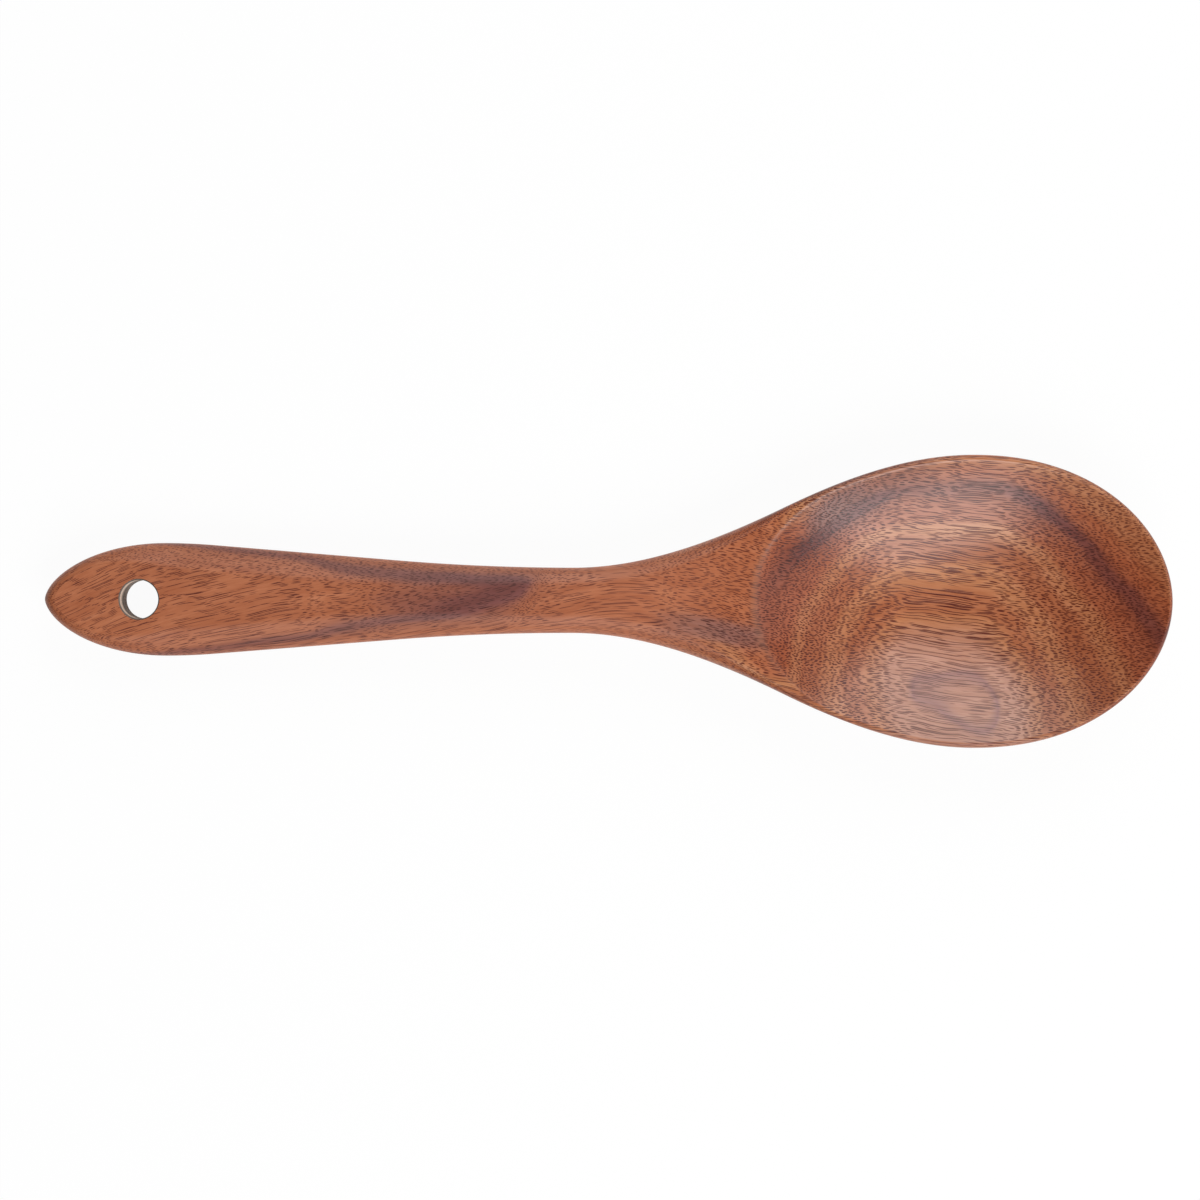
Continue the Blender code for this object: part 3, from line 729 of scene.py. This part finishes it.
class BoardFigure:
    """The figure of the acacia board, as nodes that work it out at each place inside it.

    Places and heights are in millimetres. A pair of them tells where something sets in and
    where it is full.
    """

    BOWL_RISE = (10.0, 40.0)  # along X, from the handle's plain colour to the bowl's layers
    HANDLE_SHARE = 0.2  # share of the bowl's ripple, and of its end grain and painted shade, that the handle has
    DISH_RISE = (-60.0, 5.0)  # along X, from nearly flat layers to dished ones
    HANDLE_DISH = 0.2  # share of the dish that the handle's layers have
    DRIFT = 1.5  # how far the layers wander up and down, from lowest to highest
    RING_DRIFT = 0.22  # how far they do at the thin ring, which has to stay whole
    DRIFT_RISE = (-10.1, -8.0)  # heights above the dark layer, from the ring's drift to the full
    SWAY = 2.0  # how far the fibres wander to the sides
    CONTRAST = {"fibre": 0.42, "streak": 0.4, "ring": 0.35}
    REDDENING = (1.0, 1.7, 2.3)  # powers of a shade's red, green and blue, so dark wood is redder
    CUT_RISE = (0.08, 0.45)  # the surface's lean along X, as a share of its normal
    UNEVENNESS = 0.85  # of the vessels' places, where 1 is all chance
    # Least radius of a vessel in shares of their spacing, and what the bowl, a crowd and chance
    # add to it at most. At a spacing of 0.36 mm, as fitted, they come out 0.1 to
    # 0.3 mm across, about as in real acacia.
    VESSEL_RADIUS = 0.13
    VESSEL_GAINS = (0.08, 0.12, 0.07)
    VESSEL_EDGE = (0.7, 1.3)  # soft edge of a vessel, in shares of its radius

    def __init__(self, tree, finish):
        self.tree = tree
        self.finish = finish
        place, self.axes = find_place(tree)
        self.wave = make_waves(tree, place, BOARD_WAVES)
        x, y, _ = self.axes
        start, full = self.BOWL_RISE
        inputs = {"Value": x, "From Min": start, "From Max": full}
        self.in_bowl = add(tree, "ShaderNodeMapRange", inputs, interpolation_type="SMOOTHSTEP")
        inputs = {0: self.in_bowl, 1: 1 - self.HANDLE_SHARE, 2: self.HANDLE_SHARE}
        self.bowlward = add(tree, "ShaderNodeMath", inputs, operation="MULTIPLY_ADD")
        self.layer, self.above = self.find_layers()
        self.across, self.up = self.find_grain()
        grain = add(tree, "ShaderNodeCombineXYZ", {0: x, 1: self.across, 2: self.up})
        self.wave |= make_waves(tree, grain, GRAIN_WAVES)
        level = add(tree, "ShaderNodeCombineXYZ", {0: x, 1: y, 2: self.above})
        self.wave |= make_waves(tree, level, RING_WAVES)

    def find_layers(self):
        """Height of the dark layer's middle, and the height above it once the layers drift."""
        tree, (x, y, z) = self.tree, self.axes
        slant = follow(tree, x, LAYER_SLANT)
        shift = add(tree, "ShaderNodeMath", {0: y, 1: slant}, operation="MULTIPLY")
        along = add(tree, "ShaderNodeMath", {0: x, 1: shift}, operation="SUBTRACT")
        middle = follow(tree, along, DARK_LAYER_HEIGHT)

        # Layers are rounds about the pith, so they rise with the square of the distance from it
        pith = self.finish.pith_side / MM
        side = add(tree, "ShaderNodeMath", {0: y, 1: pith}, operation="SUBTRACT")
        square = add(tree, "ShaderNodeMath", {0: side, 1: side}, operation="MULTIPLY")
        start, full = self.DISH_RISE
        inputs = {"Value": x, "From Min": start, "From Max": full, "To Min": self.HANDLE_DISH}
        dish = add(tree, "ShaderNodeMapRange", inputs, interpolation_type="SMOOTHSTEP")
        inputs = {0: dish, 1: MM / 2 / self.finish.pith_height}
        dish = add(tree, "ShaderNodeMath", inputs, operation="MULTIPLY")
        layer = add(tree, "ShaderNodeMath", {0: square, 1: dish, 2: middle}, operation="MULTIPLY_ADD")

        above = add(tree, "ShaderNodeMath", {0: z, 1: layer}, operation="SUBTRACT")
        drift = add(tree, "ShaderNodeMath", {0: self.wave["drift"], 1: 0.5}, operation="SUBTRACT")
        start, full = self.DRIFT_RISE
        inputs = {"Value": above, "From Min": start, "From Max": full}
        inputs |= {"To Min": self.RING_DRIFT, "To Max": self.DRIFT}
        reach = add(tree, "ShaderNodeMapRange", inputs)
        inputs = {0: drift, 1: reach, 2: above}
        return layer, add(tree, "ShaderNodeMath", inputs, operation="MULTIPLY_ADD")

    def find_grain(self):
        """Places across and up that stay the same along a fibre, wherever it runs."""
        tree, wave, (x, y, z) = self.tree, self.wave, self.axes
        sweep = follow(tree, x, GRAIN_SWEEP)
        across = add(tree, "ShaderNodeMath", {0: y, 1: sweep}, operation="SUBTRACT")
        for name, reach in (("sway", self.SWAY), ("ripple", self.bowlward)):
            inputs = {0: wave[name], 1: reach, 2: across}
            across = add(tree, "ShaderNodeMath", inputs, operation="MULTIPLY_ADD")
        up = add(tree, "ShaderNodeMath", {0: z, 1: self.layer}, operation="SUBTRACT")
        climb = follow(tree, x, GRAIN_CLIMB)
        up = add(tree, "ShaderNodeMath", {0: up, 1: climb}, operation="SUBTRACT")
        return across, add(tree, "ShaderNodeMath", {0: wave["lift"], 1: up}, operation="ADD")

    def layer_colour(self):
        """Plain orange wood on the handle, and the growth layers' colours in the bowl."""
        tree = self.tree
        low, high = LAYER_COLOURS[0][0], LAYER_COLOURS[-1][0]
        inputs = {"Value": self.above, "From Min": low, "From Max": high}
        span = add(tree, "ShaderNodeMapRange", inputs)
        ramp = add(tree, "ShaderNodeValToRGB", {"Fac": span})
        stops = ramp.color_ramp.elements
        while len(stops) < len(LAYER_COLOURS):
            stops.new(0.5)
        for stop, (height, name) in zip(stops, LAYER_COLOURS):
            stop.position = (height - low) / (high - low)
            stop.color = (*getattr(self.finish, name), 1.0)
        inputs = {0: self.in_bowl, 6: (*self.finish.orange, 1.0), 7: ramp}
        return add(tree, "ShaderNodeMix", inputs, data_type="RGBA").outputs[2]

    def darkness(self):
        """How dark the dark layer makes the wood."""
        x = self.axes[0]
        return follow_both(self.tree, (self.above, DARK_LAYER_DEPTH), (x, DARK_LAYER_STRENGTH))

    def stain_and_sheen(self):
        """How strong the two purple stains are, partly dark wood and partly painted sheen."""
        x = self.axes[0]
        far = follow_both(self.tree, (x, FAR_STAIN_AND_SHEEN_ALONG), (self.above, FAR_STAIN_AND_SHEEN_UP))
        near = follow_both(self.tree, (x, NEAR_STAIN_AND_SHEEN_ALONG), (self.across, NEAR_STAIN_AND_SHEEN_ACROSS))
        return add(self.tree, "ShaderNodeMath", {0: far, 1: near}, operation="MAXIMUM")

    def shade(self):
        """Light and dark fibres, streaks and thin rings, about a mean of 1."""
        shade = 1.0
        for name, contrast in self.CONTRAST.items():
            inputs = {0: self.wave[name], 1: contrast, 2: 1 - contrast / 2}
            part = add(self.tree, "ShaderNodeMath", inputs, operation="MULTIPLY_ADD")
            shade = add(self.tree, "ShaderNodeMath", {0: part, 1: shade}, operation="MULTIPLY")
        inputs = {0: shade, 1: self.REDDENING}
        return add(self.tree, "ShaderNodeVectorMath", inputs, operation="POWER")

    def end_grain_and_shade(self):
        """How far the surface cuts across the fibres, which run more or less along X: where real end grain
        darkens, and where shade is painted on walls that lean along X.
        """
        tree = self.tree
        normal = add(tree, "ShaderNodeNewGeometry").outputs["Normal"]
        lean = add(tree, "ShaderNodeSeparateXYZ", {0: normal})
        lean = add(tree, "ShaderNodeMath", {0: lean}, operation="ABSOLUTE")
        start, full = self.CUT_RISE
        inputs = {"Value": lean, "From Min": start, "From Max": full, "To Max": self.bowlward}
        return add(tree, "ShaderNodeMapRange", inputs, interpolation_type="SMOOTHSTEP")

    def vessels(self):
        """How plainly the open vessels show, which are endless tubes along the grain."""
        tree = self.tree
        cells = add(tree, "ShaderNodeCombineXYZ", {0: self.across, 1: self.up})
        spacing = self.finish.pore_spacing / MM
        tubes = add(
            tree,
            "ShaderNodeTexVoronoi",
            {"Vector": cells, "Scale": 1 / spacing, "Randomness": self.UNEVENNESS},
            voronoi_dimensions="2D",
            feature="F1",
        )
        chance = add(tree, "ShaderNodeSeparateColor", {0: tubes.outputs["Color"]})
        radius = self.VESSEL_RADIUS
        for cause, gain in zip((self.in_bowl, self.wave["crowd"], chance), self.VESSEL_GAINS):
            inputs = {0: cause, 1: gain, 2: radius}
            radius = add(tree, "ShaderNodeMath", inputs, operation="MULTIPLY_ADD")
        inner, outer = (
            add(tree, "ShaderNodeMath", {0: radius, 1: side}, operation="MULTIPLY")
            for side in self.VESSEL_EDGE
        )
        plain = follow_both(tree, (self.axes[0], PORES_ALONG), (self.above, PORES_UP))
        inputs = {"Value": tubes, "From Min": inner, "From Max": outer}
        inputs |= {"To Min": plain, "To Max": 0.0}
        return add(tree, "ShaderNodeMapRange", inputs, interpolation_type="SMOOTHSTEP")


VESSEL_DULLNESS = 0.05  # what an open vessel adds to the roughness
VESSEL_DEPTH = 0.06 * MM
FIBRE_RELIEF = 0.3  # share of the vessels' depth
RELIEF_STRENGTH = 0.25


def make_oiled_acacia(finish):
    """Acacia, sawn, carved, sanded fine and rubbed with oil: a satin sheen over warm brown wood.

    The figure is solid, as in the board: growth layers that dish towards the tree's pith, one
    dark layer among them that comes to the surface on the handle and round the hollow, and
    vessels along the grain, which the surface cuts into dashes where it runs with them and
    into dots where it slopes across them. Walls that lean along X, across the fibres, are
    darker and redder, partly as end grain that drinks more oil and partly as painted shade.
    The lip of the hollow at the neck gets a pale grey-brown painted sheen.
    """
    material, tree, shader = new_material("oiled_acacia")
    figure = BoardFigure(tree, finish)
    # The dark layer, then the two stains, whose grey-purple cast is partly painted sheen
    under = [(figure.darkness(), finish.umber, "MIX"), (figure.stain_and_sheen(), finish.plum_stain_and_sheen, "MIX")]
    wood = lay_coats(tree, figure.layer_colour(), under)
    wood = add(tree, "ShaderNodeVectorMath", {0: wood, 1: figure.shade()}, operation="MULTIPLY")
    pores = figure.vessels()
    over = [
        # End grain, and painted shade on walls that lean along X
        (figure.end_grain_and_shade(), finish.end_grain_and_shade, "MULTIPLY"),
        (pores, finish.pore, "MULTIPLY"),
        # Painted sheen on the hollow's lip at the neck
        (add(tree, "ShaderNodeAttribute", attribute_name="lip_sheen").outputs["Fac"], finish.lip_sheen_tint, "MIX"),
    ]
    tree.links.new(lay_coats(tree, wood, over), shader.inputs["Base Color"])

    # Satin oil, duller on the handle and in the open vessels
    levels = {"To Min": finish.worn_roughness, "To Max": finish.roughness}
    satin = add(tree, "ShaderNodeMapRange", {"Value": figure.in_bowl, **levels})
    inputs = {0: pores, 1: VESSEL_DULLNESS, 2: satin}
    satin = add(tree, "ShaderNodeMath", inputs, operation="MULTIPLY_ADD")
    tree.links.new(satin.outputs[0], shader.inputs["Roughness"])
    shader.inputs["IOR"].default_value = 1.5
    inputs = {0: figure.wave["fibre"], 1: FIBRE_RELIEF}
    relief = add(tree, "ShaderNodeMath", inputs, operation="MULTIPLY")
    relief = add(tree, "ShaderNodeMath", {0: relief, 1: pores}, operation="SUBTRACT")
    inputs = {"Height": relief, "Strength": RELIEF_STRENGTH, "Distance": VESSEL_DEPTH}
    bump = add(tree, "ShaderNodeBump", inputs)
    tree.links.new(bump.outputs["Normal"], shader.inputs["Normal"])
    return material


def make_drilled_acacia(finish):
    """Acacia as the drill left it: unoiled and pale, with fine rings. It is darker at both mouths
    and half way down, and painted light from the floor makes it lighter near the bottom."""
    material, tree, shader = new_material("drilled_acacia")
    place, (_, _, height) = find_place(tree)
    turn = make_waves(tree, place, DRILL_WAVES)["turn"]
    inputs = {0: turn, 1: DRILL_CONTRAST, 2: DRILL_DARKEST}
    rings = add(tree, "ShaderNodeMath", inputs, operation="MULTIPLY_ADD")
    # Painted light from the floor near the bottom of the wall, and darker at both mouths and half way down
    tone_and_light = follow(tree, height, HOLE_WALL_TONE_AND_LIGHT)
    shade = add(tree, "ShaderNodeMath", {0: rings, 1: tone_and_light}, operation="MULTIPLY")
    inputs = {0: tuple(finish.bare), "Scale": shade}
    wood = add(tree, "ShaderNodeVectorMath", inputs, operation="SCALE")
    tree.links.new(wood.outputs[0], shader.inputs["Base Color"])
    shader.inputs["Roughness"].default_value = 0.75
    return material


class SPOON_OT_carve(Operator):
    """Carve the salad spoon in the place of its CAD solid"""

    bl_idname = "salad_spoon.carve"
    bl_label = "Carve the spoon"

    def execute(self, context):
        form = SpoonForm(context.scene.spoon_sizes)
        finish = context.scene.acacia_finish
        oiled, drilled = make_oiled_acacia(finish), make_drilled_acacia(finish)
        spoon = add_object("salad_spoon", SkinGrid(form).make_mesh(), oiled)
        cut_away(spoon, make_drill(form, drilled))
        # Marks where the hollow's lip takes its painted sheen
        mark_lip_sheen(spoon, form)
        spoon.data.shade_smooth()
        spoon.data.set_sharp_from_angle(angle=math.radians(40))
        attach(spoon, "root")
        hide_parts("spoon")
        return {"FINISHED"}


FLOOR_GLOW = 0.95  # share of plain white that the camera sees, and the rest is lit paper


def make_floor():
    """White paper. The camera sees it almost evenly white, with a trace of the shadow."""
    mesh = bmesh.new()
    bmesh.ops.create_circle(mesh, cap_ends=True, segments=96, radius=3.0)
    material, tree, shader = new_material("white_paper")
    shader.inputs["Base Color"].default_value = (0.9, 0.9, 0.9, 1.0)
    shader.inputs["Roughness"].default_value = 0.9
    glow = add(tree, "ShaderNodeEmission", {"Color": (1.0, 1.0, 1.0, 1.0), "Strength": 1.0})
    path = add(tree, "ShaderNodeLightPath").outputs
    seen = path["Is Camera Ray"]
    for ray in ("Is Glossy Ray", "Is Transmission Ray"):
        seen = add(tree, "ShaderNodeMath", {0: seen, 1: path[ray]}, operation="MAXIMUM")
    part = add(tree, "ShaderNodeMath", {0: seen, 1: FLOOR_GLOW}, operation="MULTIPLY")
    mixed = add(tree, "ShaderNodeMixShader", {0: part, 1: shader, 2: glow})
    tree.links.new(mixed.outputs[0], tree.nodes["Material Output"].inputs["Surface"])
    add_object("studio_floor", mesh, material)


def make_sky(strength):
    """Even white light from all round, plain white to the camera."""
    world = bpy.data.worlds.new("studio_sky")
    world.use_nodes = True
    tree = world.node_tree
    tree.nodes.clear()
    seen = add(tree, "ShaderNodeLightPath").outputs["Is Camera Ray"]
    level = add(tree, "ShaderNodeMapRange", {"Value": seen, "To Min": strength, "To Max": 1.0})
    inputs = {"Color": (1.0, 1.0, 1.0, 1.0), "Strength": level}
    light = add(tree, "ShaderNodeBackground", inputs)
    add(tree, "ShaderNodeOutputWorld", {"Surface": light})
    bpy.context.scene.world = world


def make_soft_box(name, place, size, power):
    """A soft box at a place, turned towards the middle of the spoon."""
    data = bpy.data.lights.new(name, "AREA")
    data.shape = "RECTANGLE"
    data.size, data.size_y = size
    data.energy = power
    lamp = bpy.data.objects.new(name, data)
    lamp.location = place
    lamp.rotation_euler = lamp.location.to_track_quat("Z", "Y").to_euler()
    bpy.context.scene.collection.objects.link(lamp)


class SPOON_OT_studio(Operator):
    """Set the camera, the two soft boxes, the end panel, the white floor and the sky"""

    bl_idname = "salad_spoon.studio"
    bl_label = "Set the studio"

    def execute(self, context):
        setting = context.scene.studio_setting
        data = bpy.data.cameras.new("camera")
        data.angle = 2 * math.atan(PHOTO_SIDE / 2 / setting.focal_pixels)
        data.clip_start = 0.01
        camera = bpy.data.objects.new("camera", data)
        camera.location = (setting.camera_side, setting.camera_across, setting.camera_height)
        camera.rotation_euler = (0, 0, setting.camera_roll)
        context.scene.collection.objects.link(camera)
        context.scene.camera = camera
        make_floor()
        make_sky(setting.sky)
        make_soft_box("far_soft_box", setting.far_place, setting.far_size, setting.far_power)
        make_soft_box("near_soft_box", setting.near_place, setting.near_size, setting.near_power)
        make_soft_box("end_panel", setting.end_place, setting.end_size, setting.end_power)
        context.scene.view_settings.view_transform = "Standard"
        return {"FINISHED"}


class SPOON_PT_maker(Panel):
    """Lists the steps that make the spoon and its studio"""

    bl_label = "Salad Spoon"
    bl_idname = "SPOON_PT_maker"
    bl_space_type = "VIEW_3D"
    bl_region_type = "UI"
    bl_category = "Salad Spoon"

    def draw(self, context):
        for group, operator in (
            (context.scene.spoon_sizes, SPOON_OT_carve),
            (context.scene.acacia_finish, None),
            (context.scene.studio_setting, SPOON_OT_studio),
        ):
            box = self.layout.box()
            for name in group.bl_rna.properties.keys():
                if name not in ("rna_type", "name"):
                    box.prop(group, name)
            if operator:
                box.operator(operator.bl_idname)


GROUPS = {
    "spoon_sizes": SpoonSizes,
    "acacia_finish": AcaciaFinish,
    "studio_setting": StudioSetting,
}
CLASSES = (*GROUPS.values(), SPOON_OT_carve, SPOON_OT_studio, SPOON_PT_maker)


def register():
    for cls in CLASSES:
        bpy.utils.register_class(cls)
    for name, group in GROUPS.items():
        setattr(bpy.types.Scene, name, PointerProperty(type=group))


def unregister():
    for name in reversed(GROUPS):
        delattr(bpy.types.Scene, name)
    for cls in reversed(CLASSES):
        bpy.utils.unregister_class(cls)


def main():
    register()
    bpy.ops.salad_spoon.studio()
    bpy.ops.salad_spoon.carve()


if __name__ == "__main__":
    main()
